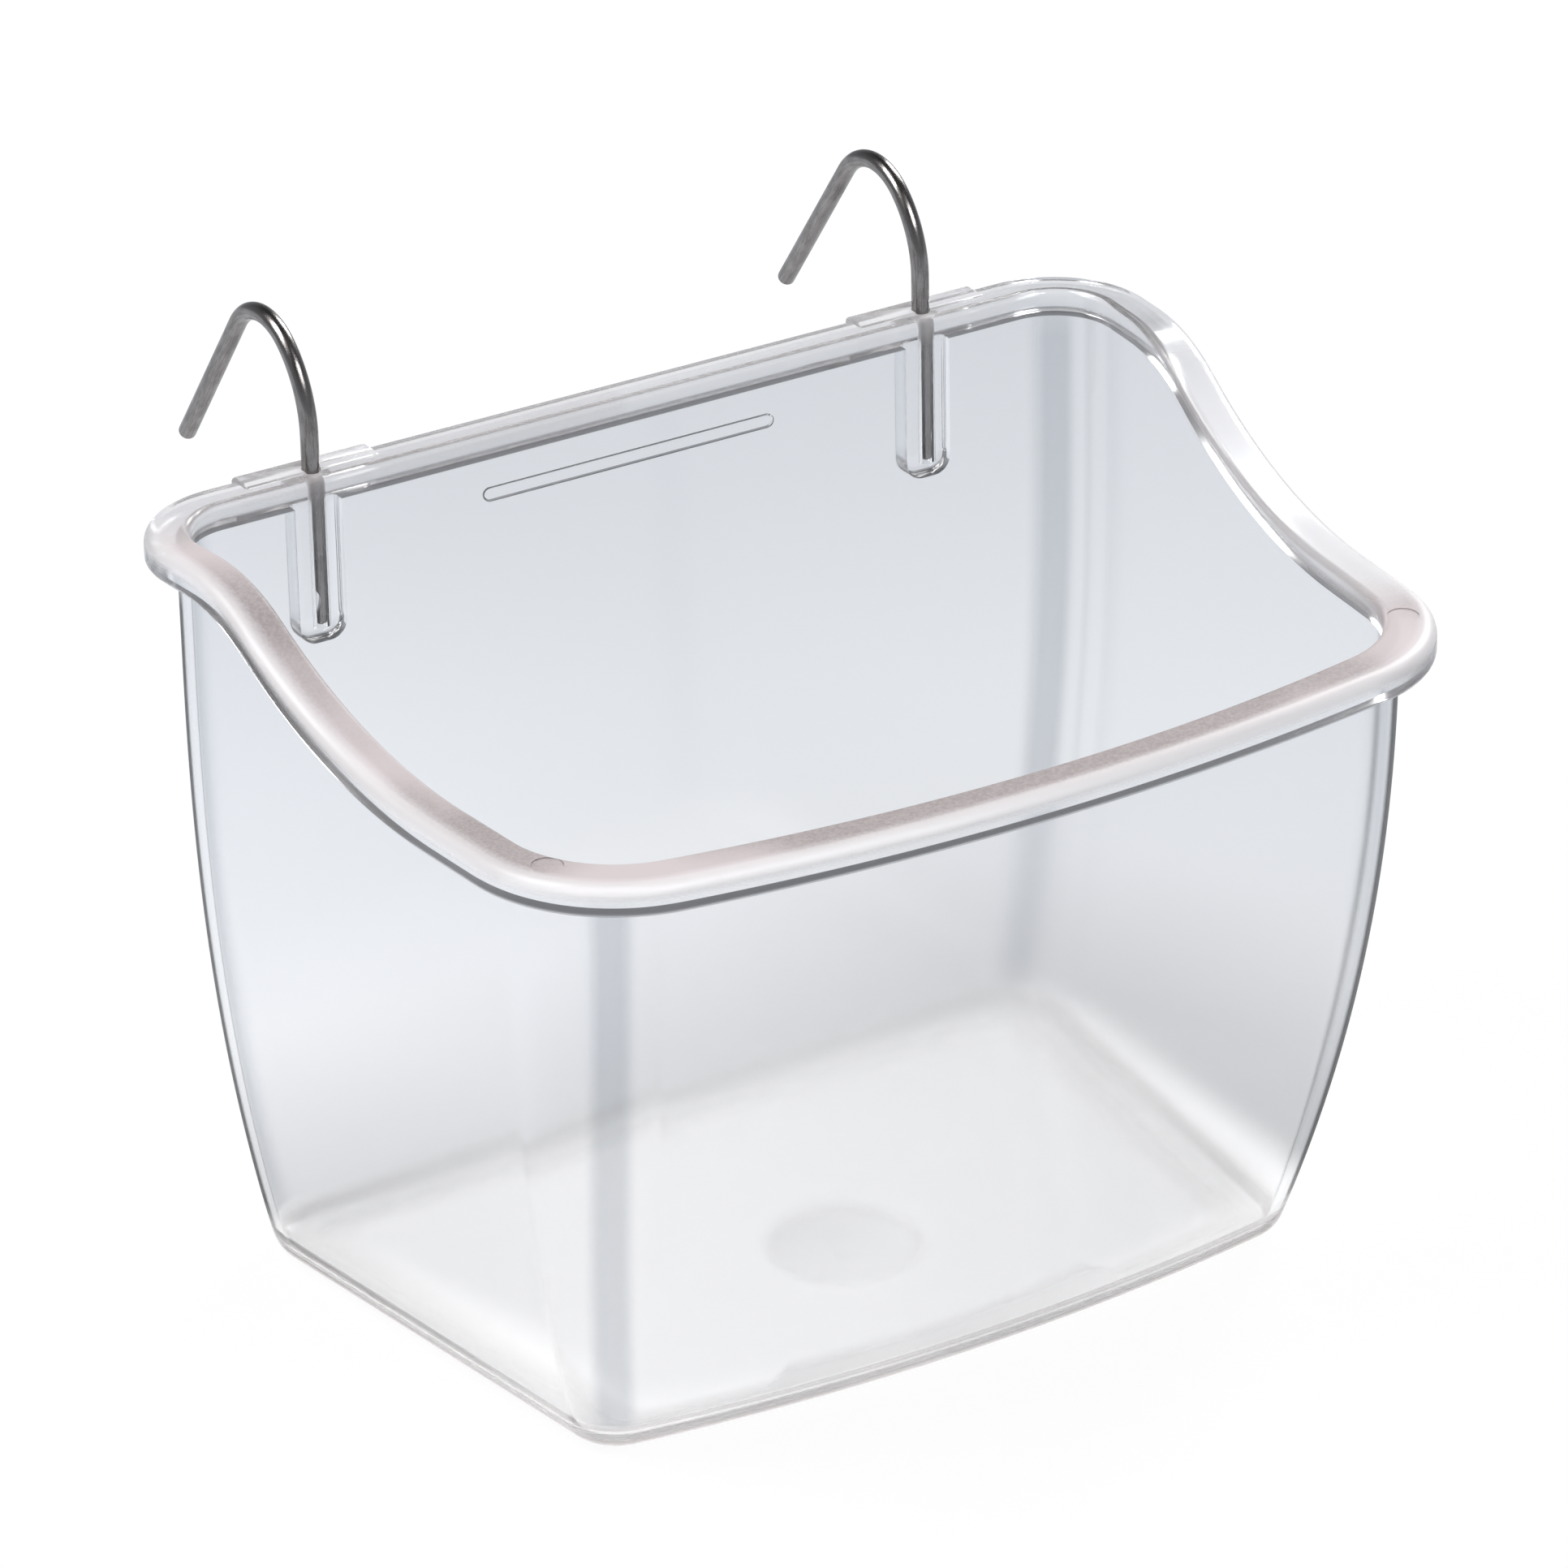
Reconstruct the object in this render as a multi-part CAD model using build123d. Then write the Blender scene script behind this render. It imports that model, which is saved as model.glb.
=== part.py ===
from build123d import *
import os

# Clear feed cup that hangs by two wire hooks. Millimetres; +X right, -Y front, +Z up.
# The origin is the middle of the flat underside.

# Rim seen from above: a trapezoid with a bowed front and rounded corners
rim_back_y = 38.0
rim_front_y = -45.5
rim_back_half = 63.6
rim_front_half = 57.3
rim_bow = 6.2
rim_back_radius = 12.0
rim_front_radius = 18.0
rim_height = 3.5
rim_top_round = 1.5
rim_under_round = 0.6
rim_inner_round = 0.8

# Rim seen from the side: level at the back, an S bend, then a gentle fall to the front
back_height = 89.4
level_end_y = 21.2
upper_bend = 20.5
lower_bend = 61.8
steepest = 32.7
front_slope = 0.8

# Walls: drafted and curved inward towards a smaller base
overhang = 3.6
wall = 1.6
floor_thickness = 2.2
wall_height = 74.0
base_back_y = 33.6
base_front_y = -29.6
base_back_half = 52.5
base_front_half = 44.4
base_bow = 3.9
base_back_radius = 8.0
base_front_radius = 5.9
side_power = 2.35
front_power = 1.9
base_round = 4.0
floor_round = 3.0
loft_steps = 7
loft_tail = 10.0

# Sleeves on the back wall that hold the hook wires
hook_x = 39.0
hook_y = 35.1
sleeve_width = 5.7
sleeve_back_y = 37.4
sleeve_bottom = 69.7
sleeve_bottom_round = 2.0
sleeve_back_round = 0.8
wire_radius = 1.0
wire_clearance = 0.05
wire_end = 71.7
bore_floor_gap = 0.3

# Pads on the rim round each wire
pad_half = 8.3
pad_rise = 0.25
pad_round = 0.5

# Bar on the outside of the back wall, gate dimple in the floor, pin marks on the rim
bar_half = 18.6
bar_height = 1.6
bar_depth = 0.5
bar_z = 81.7
dimple_radius = 8.9
dimple_depth = 0.8
dimple_y = -7.0
gate_radius = 1.2
gate_height = 0.25
pin_mark_x = 53.0
pin_mark_y = -37.5
pin_mark_radius = 1.7
pin_mark_depth = 0.12

# Hook: up out of the sleeve, over a bend that tightens, then a straight leg down behind the cup
straight_top = 93.4
easy_bend = 12.0
easy_turn = 50.0
tight_bend = 7.5
tight_turn = 93.0
free_leg = 22.4
tip_round = 0.45
pinch_z = 74.6
pinch_radius = 1.5
pinch_depth = 0.7

# Spare length of cutting solids, and limits that tell upright faces and edges from level ones
overshoot = 4.0
rim_inside = 1.0
tiny = 0.01
steep_wall = 0.5
upright = 0.9


def section(back_half, front_half, back_y, front_y, bow, back_radius, front_radius):
    """A flat trapezoid with a bowed front and rounded corners."""
    face = make_face(
        [
            Line((-front_half, front_y), (-back_half, back_y)),
            Line((-back_half, back_y), (back_half, back_y)),
            Line((back_half, back_y), (front_half, front_y)),
            ThreePointArc((front_half, front_y), (0, front_y - bow), (-front_half, front_y)),
        ]
    )
    middle = (back_y + front_y) / 2
    face = fillet([corner for corner in face.vertices() if corner.Y > middle], back_radius)
    return fillet([corner for corner in face.vertices() if abs(corner.Y - front_y) < tiny], front_radius)


def rim_section():
    return section(
        rim_back_half,
        rim_front_half,
        rim_back_y,
        rim_front_y,
        rim_bow,
        rim_back_radius,
        rim_front_radius,
    )


def wall_section(height, inset):
    """The outline of the walls at a height, moved inward by a distance."""
    rise = min(height / wall_height, 1)
    side = 1 - (1 - rise) ** side_power
    front = 1 - (1 - rise) ** front_power

    def blend(base, rim, share):
        return base + (rim - base) * share

    return section(
        blend(base_back_half, rim_back_half - overhang, side) - inset,
        blend(base_front_half, rim_front_half - overhang, side) - inset,
        blend(base_back_y, rim_back_y - overhang, side) - inset,
        blend(base_front_y, rim_front_y + overhang, front) + inset,
        blend(base_bow, rim_bow, front),
        blend(base_back_radius, rim_back_radius - overhang, side) - inset,
        blend(base_front_radius, rim_front_radius - overhang, front) - inset,
    )


def wall_solid(bottom, inset, bottom_round):
    """A solid filling the wall outline from a height to above the rim, with its bottom edge rounded."""
    heights = [bottom + (wall_height - bottom) * step / loft_steps for step in range(loft_steps + 1)]
    heights += [wall_height + loft_tail, back_height + overshoot]
    solid = loft([Pos(0, 0, height) * wall_section(height, inset) for height in heights])
    return fillet(solid.faces().sort_by(Axis.Z)[0].edges(), bottom_round)


def under_rim_line(drop):
    """Everything below the rim's side line, lowered by a distance."""
    top = back_height - drop
    behind = rim_back_y + overshoot
    below = -overshoot
    level = Line((behind, top), (level_end_y, top))
    upper = JernArc(level @ 1, level % 1, upper_bend, steepest)
    lower = JernArc(upper @ 1, upper % 1, lower_bend, front_slope - steepest)
    fall = Line(lower @ 1, (lower @ 1) + (lower % 1) * rim_back_half)
    front = (fall @ 1).X
    rest = Polyline(fall @ 1, (front, below), (behind, below), level @ 0)
    face = make_face([level, upper, lower, fall, *rest.edges()])
    return extrude(Plane.YZ * face, rim_back_half + overshoot, both=True)


def ends_of(faces, lowest, highest):
    """The edges between two heights where upright faces end."""
    edges = [edge for face in faces for edge in face.edges() if abs((edge % 0.5).Z) < upright]
    return [edge for edge in edges if lowest < edge.center().Z < highest]


def rim_plate():
    """The rim as a solid plate that follows the side line, with its outer edges rounded."""
    column_top = back_height + overshoot
    column = extrude(rim_section(), column_top)
    below_top = column & under_rim_line(0)
    sides = [face for face in below_top.faces() if abs(face.normal_at().Z) < tiny]
    below_top = fillet(ends_of(sides, rim_inside, column_top), rim_top_round)
    above_bottom = column - under_rim_line(rim_height)
    sides = [face for face in above_bottom.faces() if abs(face.normal_at().Z) < tiny]
    above_bottom = fillet(ends_of(sides, rim_inside, column_top - rim_inside), rim_under_round)
    return below_top & above_bottom


def shell():
    """Walls, floor and rim, with the rim's inner edge rounded."""
    walls = wall_solid(0, 0, base_round) & under_rim_line(rim_height / 2)
    cavity = wall_solid(floor_thickness, wall, floor_round)
    cup = walls + rim_plate() - cavity
    steep = [face for face in cup.faces() if abs(face.normal_at().Z) < steep_wall]
    inward = [face for face in steep if face.normal_at().dot(Vector(face.center().X, face.center().Y)) < 0]
    return fillet(ends_of(inward, back_height / 2, back_height + overshoot), rim_inner_round)


def pad(side):
    """The squared block on the rim round one wire."""
    depth = overhang + wall - 2 * rim_inner_round
    height = rim_height + pad_rise - rim_under_round
    block = Box(2 * pad_half, depth, height, align=(Align.CENTER, Align.MAX, Align.MAX))
    block = fillet(block.edges().filter_by(Axis.Z) + block.faces().sort_by(Axis.Z)[-1].edges(), pad_round)
    return Pos(side * hook_x, rim_back_y, back_height + pad_rise) * block


def sleeve(side):
    """The block for one wire on the outside of the back wall, under the rim."""
    front_y = rim_back_y - overhang - wall / 2
    height = back_height - rim_height / 2 - sleeve_bottom
    block = Box(sleeve_width, sleeve_back_y - front_y, height, align=(Align.CENTER, Align.MIN, Align.MIN))
    block = fillet(block.edges().filter_by(Axis.Y).group_by(Axis.Z)[0], sleeve_bottom_round)
    back_edges = block.faces().sort_by(Axis.Y)[-1].edges()
    rounded = [edge for edge in back_edges if edge.center().Z < height - sleeve_back_round]
    block = fillet(rounded, sleeve_back_round)
    return Pos(side * hook_x, front_y, sleeve_bottom) * block


def bore(side):
    """The blind hole for one wire."""
    bottom = wire_end - bore_floor_gap
    hole = Cylinder(
        wire_radius + wire_clearance,
        back_height + overshoot - bottom,
        align=(Align.CENTER, Align.CENTER, Align.MIN),
    )
    return Pos(side * hook_x, hook_y, bottom) * hole


def bar():
    """The raised bar on the outside of the back wall."""
    outline = SlotOverall(2 * bar_half, bar_height)
    wall_face = rim_back_y - overhang
    return extrude(Pos(0, wall_face - wall / 2, bar_z) * Rot(90, 0, 0) * outline, -(wall / 2 + bar_depth))


def cap(radius, depth):
    """A ball's cap, with its flat side down on the origin."""
    ball_radius = (radius**2 + depth**2) / (2 * depth)
    ball = Pos(0, 0, depth - ball_radius) * Sphere(ball_radius)
    return ball & Box(4 * radius, 4 * radius, 2 * radius, align=(Align.CENTER, Align.CENTER, Align.MIN))


def tub():
    cup = shell() + bar()
    for side in (-1, 1):
        cup += pad(side)
        cup += sleeve(side)
    for side in (-1, 1):
        cup -= bore(side)
    cup -= Pos(0, dimple_y, floor_thickness) * Rot(180, 0, 0) * cap(dimple_radius, dimple_depth)
    cup += Pos(0, dimple_y, floor_thickness - dimple_depth) * Cylinder(gate_radius, 2 * gate_height)
    for side in (-1, 1):
        mark = Cylinder(pin_mark_radius, 2 * (back_height + overshoot))
        cup -= Pos(side * pin_mark_x, pin_mark_y, 0) * mark - under_rim_line(pin_mark_depth)
    return cup


def hook(side):
    """One bent wire, with a pinch near its lower end that holds it in the sleeve."""
    stem = Line((hook_y, wire_end), (hook_y, straight_top))
    easy = JernArc(stem @ 1, stem % 1, easy_bend, -easy_turn)
    tight = JernArc(easy @ 1, easy % 1, tight_bend, -tight_turn)
    leg = Line(tight @ 1, (tight @ 1) + (tight % 1) * free_leg)
    path = Plane.YZ * Wire([stem, easy, tight, leg])
    wire = sweep(Pos(0, hook_y, wire_end) * Circle(wire_radius), path=path)
    ends = wire.faces().filter_by(GeomType.PLANE)
    wire = fillet([end.edges() for end in ends], tip_round)
    reach = wire_radius + pinch_radius - pinch_depth
    notch = Rot(90, 0, 0) * Cylinder(pinch_radius, 4 * wire_radius)
    return Pos(side * hook_x, 0, 0) * (wire - Pos(side * reach, hook_y, pinch_z) * notch)


os.makedirs("parts", exist_ok=True)
export_step(tub(), "parts/tub.step")
export_step(hook(-1), "parts/hook_left.step")
export_step(hook(1), "parts/hook_right.step")
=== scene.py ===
import math

import bmesh
import bpy
import numpy as np
from mathutils import Matrix, Vector, kdtree


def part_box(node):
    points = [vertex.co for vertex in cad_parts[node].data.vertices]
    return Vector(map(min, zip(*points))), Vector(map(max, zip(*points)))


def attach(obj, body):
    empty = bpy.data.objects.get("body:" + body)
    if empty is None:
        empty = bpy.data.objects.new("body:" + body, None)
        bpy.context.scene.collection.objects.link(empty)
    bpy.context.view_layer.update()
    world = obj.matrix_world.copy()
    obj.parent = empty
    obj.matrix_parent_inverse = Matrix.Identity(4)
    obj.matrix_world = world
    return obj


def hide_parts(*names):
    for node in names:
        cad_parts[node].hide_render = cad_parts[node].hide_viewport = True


# A clear moulded feed cup with two wire hooks, in metres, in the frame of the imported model

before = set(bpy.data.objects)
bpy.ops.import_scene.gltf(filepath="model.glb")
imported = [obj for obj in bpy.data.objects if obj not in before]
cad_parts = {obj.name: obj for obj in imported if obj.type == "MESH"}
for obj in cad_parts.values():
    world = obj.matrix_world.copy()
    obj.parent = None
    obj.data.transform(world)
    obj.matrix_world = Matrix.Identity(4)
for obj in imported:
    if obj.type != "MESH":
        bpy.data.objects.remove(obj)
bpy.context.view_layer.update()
rightHookLow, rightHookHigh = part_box("hook_right")
mm = 0.001
hookX = round((rightHookLow[0] + rightHookHigh[0]) / 2 / mm, 1)  # from the middle to each wire
print("frame loaded, nodes:", ", ".join(sorted(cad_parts)))


class Value:  # one number in a shader; sums on it add Math nodes
    def __init__(self, recipe, socket):
        self.recipe = recipe
        self.socket = socket

    def maths(self, operation, left, right=None):
        inputs = {0: left} if right is None else {0: left, 1: right}
        return self.recipe.value("ShaderNodeMath", {"operation": operation}, inputs)

    def __add__(self, other):
        return self.maths("ADD", self, other)

    def __radd__(self, other):
        return self.maths("ADD", other, self)

    def __sub__(self, other):
        return self.maths("SUBTRACT", self, other)

    def __rsub__(self, other):
        return self.maths("SUBTRACT", other, self)

    def __mul__(self, other):
        return self.maths("MULTIPLY", self, other)

    def __rmul__(self, other):
        return self.maths("MULTIPLY", other, self)

    def __truediv__(self, other):
        return self.maths("DIVIDE", self, other)

    def absolute(self):
        return self.maths("ABSOLUTE", self)

    def smooth(self, low, high):  # 0 below low, 1 above high, an S between
        settings = {"interpolation_type": "SMOOTHSTEP"}
        inputs = {"Value": self, "From Min": low, "From Max": high}
        return self.recipe.value("ShaderNodeMapRange", settings, inputs)


class Recipe:  # writes nodes into a tree
    def __init__(self, tree):
        self.tree = tree
        tree.nodes.clear()

    def add(self, kind, settings=None, inputs=None):
        node = self.tree.nodes.new(kind)
        for name, setting in (settings or {}).items():
            if name == "stops":
                ramp = node.color_ramp
                while len(ramp.elements) < len(setting):
                    ramp.elements.new(0.5)
                for element, (stop, colour) in zip(ramp.elements, setting):
                    element.position = stop
                    element.color = colour
            else:
                setattr(node, name, setting)
        for name, given in (inputs or {}).items():
            self.feed(node.inputs[name], given)
        return node

    def feed(self, socket, given):  # a link, or a plain value
        if isinstance(given, Value):
            self.tree.links.new(given.socket, socket)
        elif isinstance(given, bpy.types.NodeSocket):
            self.tree.links.new(given, socket)
        else:
            socket.default_value = given

    def value(self, kind, settings=None, inputs=None, output=None):
        node = self.add(kind, settings, inputs)
        shown = [socket for socket in node.outputs if socket.enabled]
        return Value(self, node.outputs[output] if output else shown[0])

    def blend(self, factor, first, second, way="MIX"):  # a colour between two
        node = self.tree.nodes.new("ShaderNodeMix")
        node.data_type = "RGBA"
        node.blend_type = way
        sockets = [socket for socket in node.inputs if socket.enabled]
        for socket, given in zip(sockets, (factor, first, second)):
            self.feed(socket, given)
        return next(socket for socket in node.outputs if socket.enabled)

    def noise(self, vector, scale, detail=2.0, roughness=0.5):
        inputs = {"Vector": vector, "Scale": scale, "Detail": detail, "Roughness": roughness}
        return self.value("ShaderNodeTexNoise", None, inputs)


# Camera

cameraPlan = {
    "eye": (-0.41863, -0.67524, 0.44398),
    "aim": (0.00246, 0.00682, 0.0520),
    "roll": -1.072,  # degrees
    "lens": 187.86,
    "sensor": 36.0,
}


def makeCamera(plan):
    data = bpy.data.cameras.new("studioCamera")
    data.lens = plan["lens"]
    data.sensor_width = plan["sensor"]
    data.clip_start = 0.05
    data.clip_end = 20
    camera = bpy.data.objects.new("studioCamera", data)
    bpy.context.scene.collection.objects.link(camera)
    eye = Vector(plan["eye"])
    toward = (Vector(plan["aim"]) - eye).normalized()
    right = toward.cross(Vector((0, 0, 1))).normalized()
    up = right.cross(toward)
    roll = math.radians(plan["roll"])
    across = right * math.cos(roll) + up * math.sin(roll)
    upward = up * math.cos(roll) - right * math.sin(roll)
    turn = Matrix((across, upward, -toward)).transposed()
    camera.matrix_world = Matrix.Translation(eye) @ turn.to_4x4()
    bpy.context.scene.camera = camera
    return camera


makeCamera(cameraPlan)
print("camera placed")


# Tub: one skin swept round the plan, from the floor inside over the rim to the base outside

tubForm = {  # millimetres, or numbers where noted
    "rimBackY": 38.0,
    "rimFrontY": -45.5,
    "rimBackHalf": 63.6,
    "rimFrontHalf": 57.3,
    "rimBow": 6.2,
    "rimBackRadius": 12.0,
    "rimFrontRadius": 18.0,
    "rimHeight": 3.5,
    "topRound": 1.5,
    "underRound": 0.6,
    "innerRound": 0.8,
    "backHeight": 89.4,
    "levelEndY": 21.2,
    "upperBend": 20.5,
    "lowerBend": 61.8,
    "steepest": 32.7,  # degrees
    "frontSlope": 0.8,  # degrees
    "overhang": 3.6,
    "wall": 1.6,
    "floor": 2.2,
    "wallHeight": 74.0,
    "baseBackY": 33.6,
    "baseFrontY": -29.6,
    "baseBackHalf": 52.5,
    "baseFrontHalf": 44.4,
    "baseBow": 3.9,
    "baseBackRadius": 8.0,
    "baseFrontRadius": 5.9,
    "sidePower": 2.35,  # number
    "frontPower": 1.9,  # number
    "baseRound": 4.0,
    "floorRound": 3.0,
    "dishRadius": 8.9,
    "dishDepth": 0.8,
    "dishY": -7.0,
    "gateRadius": 1.2,
    "gateHeight": 0.25,
}
columnCounts = (30, 22, 40, 26, 28)  # back edge, back corner, side, front corner, front edge


def sideLine(y):  # height of the rim's top at y
    form = tubForm
    slope = math.radians(form["steepest"])
    fall = math.radians(form["frontSlope"])
    upperY = form["levelEndY"] - form["upperBend"] * math.sin(slope)
    upperZ = form["backHeight"] - form["upperBend"] * (1 - math.cos(slope))
    centreY = upperY - form["lowerBend"] * math.sin(slope)
    centreZ = upperZ + form["lowerBend"] * math.cos(slope)
    lowerY = centreY + form["lowerBend"] * math.sin(fall)
    lowerZ = centreZ - form["lowerBend"] * math.cos(fall)
    run = np.clip(form["levelEndY"] - y, 0, form["upperBend"] * math.sin(slope))
    upper = form["backHeight"] - form["upperBend"] + np.sqrt(form["upperBend"] ** 2 - run**2)
    reach = np.clip(y - centreY, form["lowerBend"] * math.sin(fall), form["lowerBend"] * math.sin(slope))
    lower = centreZ - np.sqrt(form["lowerBend"] ** 2 - reach**2)
    straight = lowerZ - (lowerY - y) * math.tan(fall)
    return np.where(y >= upperY, upper, np.where(y >= lowerY, lower, straight))


def rimSize():
    form = tubForm
    halves = ("rimBackHalf", "rimFrontHalf", "rimBackY", "rimFrontY", "rimBow", "rimBackRadius")
    return [form[name] for name in (*halves, "rimFrontRadius")]


def wallSize(height, inset):  # plan sizes of the walls at a height, moved inward
    form = tubForm
    rise = np.clip(height / form["wallHeight"], 0, 1)
    side = 1 - (1 - rise) ** form["sidePower"]
    front = 1 - (1 - rise) ** form["frontPower"]
    over = form["overhang"]

    def between(base, rim, share):
        return base + (rim - base) * share

    return [
        between(form["baseBackHalf"], form["rimBackHalf"] - over, side) - inset,
        between(form["baseFrontHalf"], form["rimFrontHalf"] - over, side) - inset,
        between(form["baseBackY"], form["rimBackY"] - over, side) - inset,
        between(form["baseFrontY"], form["rimFrontY"] + over, front) + inset,
        between(form["baseBow"], form["rimBow"], front),
        between(form["baseBackRadius"], form["rimBackRadius"] - over, side) - inset,
        between(form["baseFrontRadius"], form["rimFrontRadius"] - over, front) - inset,
    ]


def planPoints(size, part, share):  # points and outward directions on the right half of a plan
    backHalf, frontHalf, backY, frontY, bow, backRadius, frontRadius = size
    alongX, alongY = frontHalf - backHalf, frontY - backY
    length = np.hypot(alongX, alongY)
    alongX, alongY = alongX / length, alongY / length
    outX, outY = -alongY, alongX
    backX = backHalf - backRadius * (1 - outY) / outX
    bowRadius = (frontHalf**2 + bow**2) / (2 * bow)
    bowY = frontY - bow + bowRadius
    fromX = backHalf - outX * frontRadius
    fromY = backY - outY * frontRadius - bowY
    lean = fromX * alongX + fromY * alongY
    step = -lean + np.sqrt(lean**2 - (fromX**2 + fromY**2 - (bowRadius - frontRadius) ** 2))
    cornerX = fromX + alongX * step
    cornerY = fromY + alongY * step + bowY
    sideAngle = np.arctan2(outY, outX)
    frontAngle = np.arctan2(cornerY - bowY, cornerX)
    quarter = math.pi / 2
    firstTurn = quarter + (sideAngle - quarter) * share
    nextTurn = sideAngle + (frontAngle - sideAngle) * share
    bowTurn = frontAngle + (-quarter - frontAngle) * share
    startX, startY = backX + backRadius * outX, backY - backRadius + backRadius * outY
    endX, endY = cornerX + frontRadius * outX, cornerY + frontRadius * outY
    flat = share * 0
    x = np.choose(part, [
        backX * share, backX + backRadius * np.cos(firstTurn), startX + (endX - startX) * share,
        cornerX + frontRadius * np.cos(nextTurn), bowRadius * np.cos(bowTurn)])
    y = np.choose(part, [
        backY + flat, backY - backRadius + backRadius * np.sin(firstTurn), startY + (endY - startY) * share,
        cornerY + frontRadius * np.sin(nextTurn), bowY + bowRadius * np.sin(bowTurn)])
    outwardX = np.choose(part, [flat, np.cos(firstTurn), outX + flat, np.cos(nextTurn), np.cos(bowTurn)])
    outwardY = np.choose(part, [
        flat + 1, np.sin(firstTurn), outY + flat, np.sin(nextTurn), np.sin(bowTurn)])
    return np.stack([x, y], 1), np.stack([outwardX, outwardY], 1)


def roundCorner(corner, first, second, radius, steps):  # rows of an arc that rounds a corner
    first = first / np.linalg.norm(first, axis=1)[:, None]
    second = second / np.linalg.norm(second, axis=1)[:, None]
    opening = np.arccos(np.sum(first * second, 1))
    middle = first + second
    middle = middle / np.linalg.norm(middle, axis=1)[:, None]
    centre = corner + middle * (radius / np.sin(opening / 2))[:, None]
    reach = (radius / np.tan(opening / 2))[:, None]
    start = corner + first * reach - centre
    end = corner + second * reach - centre
    turn = (math.pi - opening)[:, None]
    rows = []
    for step in range(steps + 1):
        share = step / steps
        spot = np.sin((1 - share) * turn) * start + np.sin(share * turn) * end
        rows.append(centre + spot / np.sin(turn))
    return rows


def eased(count, edge=0.012):  # shares from 0 to 1, close together at both ends
    return [0, edge, *np.linspace(0, 1, count + 1)[1:-1], 1 - edge, 1]


def onWall(height, inset, part, share):
    plan, outward = planPoints(wallSize(height, inset), part, share)
    return np.column_stack([plan, height]), outward


def wallTop(inset, drop, part, share):  # where the wall meets the rim line lowered by drop
    height = part * 0.0 + tubForm["wallHeight"]
    for _ in range(6):
        spots, outward = onWall(height, inset, part, share)
        height = sideLine(spots[:, 1]) - drop
    spots[:, 2] = height
    return spots, outward


def slopeAlong(spots, outward):  # outward direction that follows the rim's top
    nudge = 0.05
    ahead = sideLine(spots[:, 1] + outward[:, 1] * nudge)
    behind = sideLine(spots[:, 1] - outward[:, 1] * nudge)
    return np.column_stack([outward, (ahead - behind) / (2 * nudge)])


def skinRows():
    form = tubForm
    part, share = [], []
    for kind, count in enumerate(columnCounts):
        part += [kind] * count
        share += [step / count for step in range(count)]
    part = np.array(part + [len(columnCounts) - 1])
    share = np.array(share + [1.0])
    still = part * 0.0
    down = np.column_stack([still, still, still - 1])

    def bottomCorner(height, inset, radius, steps):
        corner, outward = onWall(still + height, inset, part, share)
        above, _ = onWall(still + height + 1.5, inset, part, share)
        inward = np.column_stack([-outward, still])
        return roundCorner(corner, inward, above - corner, radius, steps)

    rows = []
    floorRows = bottomCorner(form["floor"], form["wall"], form["floorRound"], 9)
    edge = floorRows[0]
    toDish = edge[:, :2] - [0, form["dishY"]]
    facing = toDish / np.linalg.norm(toDish, axis=1)[:, None]

    def ring(radius, height):
        return np.column_stack([facing * radius + [0, form["dishY"]], still + height])

    ballRadius = (form["dishRadius"] ** 2 + form["dishDepth"] ** 2) / (2 * form["dishDepth"])

    def dishHeight(radius):
        return form["floor"] - math.sqrt(ballRadius**2 - radius**2) + ballRadius - form["dishDepth"]

    gateTop = form["floor"] - form["dishDepth"] + form["gateHeight"]
    rows += [ring(form["gateRadius"] * portion, gateTop) for portion in (0.4, 0.9)]
    rows.append(ring(form["gateRadius"], gateTop - 0.06))
    rows.append(ring(form["gateRadius"] * 1.02, dishHeight(form["gateRadius"])))
    for portion in eased(8)[1:]:
        radius = form["gateRadius"] + (form["dishRadius"] - form["gateRadius"]) * portion
        rows.append(ring(radius, dishHeight(radius)))
    rim = rows[-1]
    rows += [rim + (edge - rim) * portion for portion in eased(7, 0.006)[1:-1]]
    rows += floorRows
    topCorner, outward = wallTop(form["wall"], 0, part, share)
    topRows = roundCorner(topCorner, down, slopeAlong(topCorner, outward), form["innerRound"], 6)
    low, high = floorRows[-1][:, 2], topRows[0][:, 2]
    for portion in eased(34, 0.004)[1:-1]:
        rows.append(onWall(low + (high - low) * portion, form["wall"], part, share)[0])
    rows += topRows
    rimPlan, rimOut = planPoints([size + still for size in rimSize()], part, share)
    rimCorner = np.column_stack([rimPlan, sideLine(rimPlan[:, 1])])
    rimSlope = slopeAlong(rimCorner, rimOut)
    outerRows = roundCorner(rimCorner, -rimSlope, down, form["topRound"], 9)
    for portion in eased(4, 0.02)[1:-1]:
        level = topRows[-1] + (outerRows[0] - topRows[-1]) * portion
        level[:, 2] = sideLine(level[:, 1])
        rows.append(level)
    rows += outerRows
    lowCorner = rimCorner + down * form["rimHeight"]
    underRows = roundCorner(lowCorner, -down, -rimSlope, form["underRound"], 6)
    rows += [outerRows[-1] + (underRows[0] - outerRows[-1]) * portion for portion in eased(2, 0.03)[1:-1]]
    rows += underRows
    meeting, _ = wallTop(0, form["rimHeight"], part, share)
    for portion in eased(3, 0.02)[1:]:
        level = underRows[-1] + (meeting - underRows[-1]) * portion
        level[:, 2] = sideLine(level[:, 1]) - form["rimHeight"]
        rows.append(level)
    baseRows = bottomCorner(0, 0, form["baseRound"], 10)[::-1]
    high, low = rows[-1][:, 2], baseRows[0][:, 2]
    for portion in eased(34, 0.004)[1:-1]:
        rows.append(onWall(high + (low - high) * portion, 0, part, share)[0])
    rows += baseRows
    flat = baseRows[-1]
    rows += [flat * [1 - portion, 1 - portion, 0] for portion in (0.02, 0.2, 0.45, 0.7, 0.9)]
    poles = [[0, form["dishY"], gateTop], [0, 0, 0]]
    mirrored = [np.vstack([row, row[-2:0:-1] * [-1, 1, 1]]) for row in rows]
    return mirrored, poles


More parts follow.
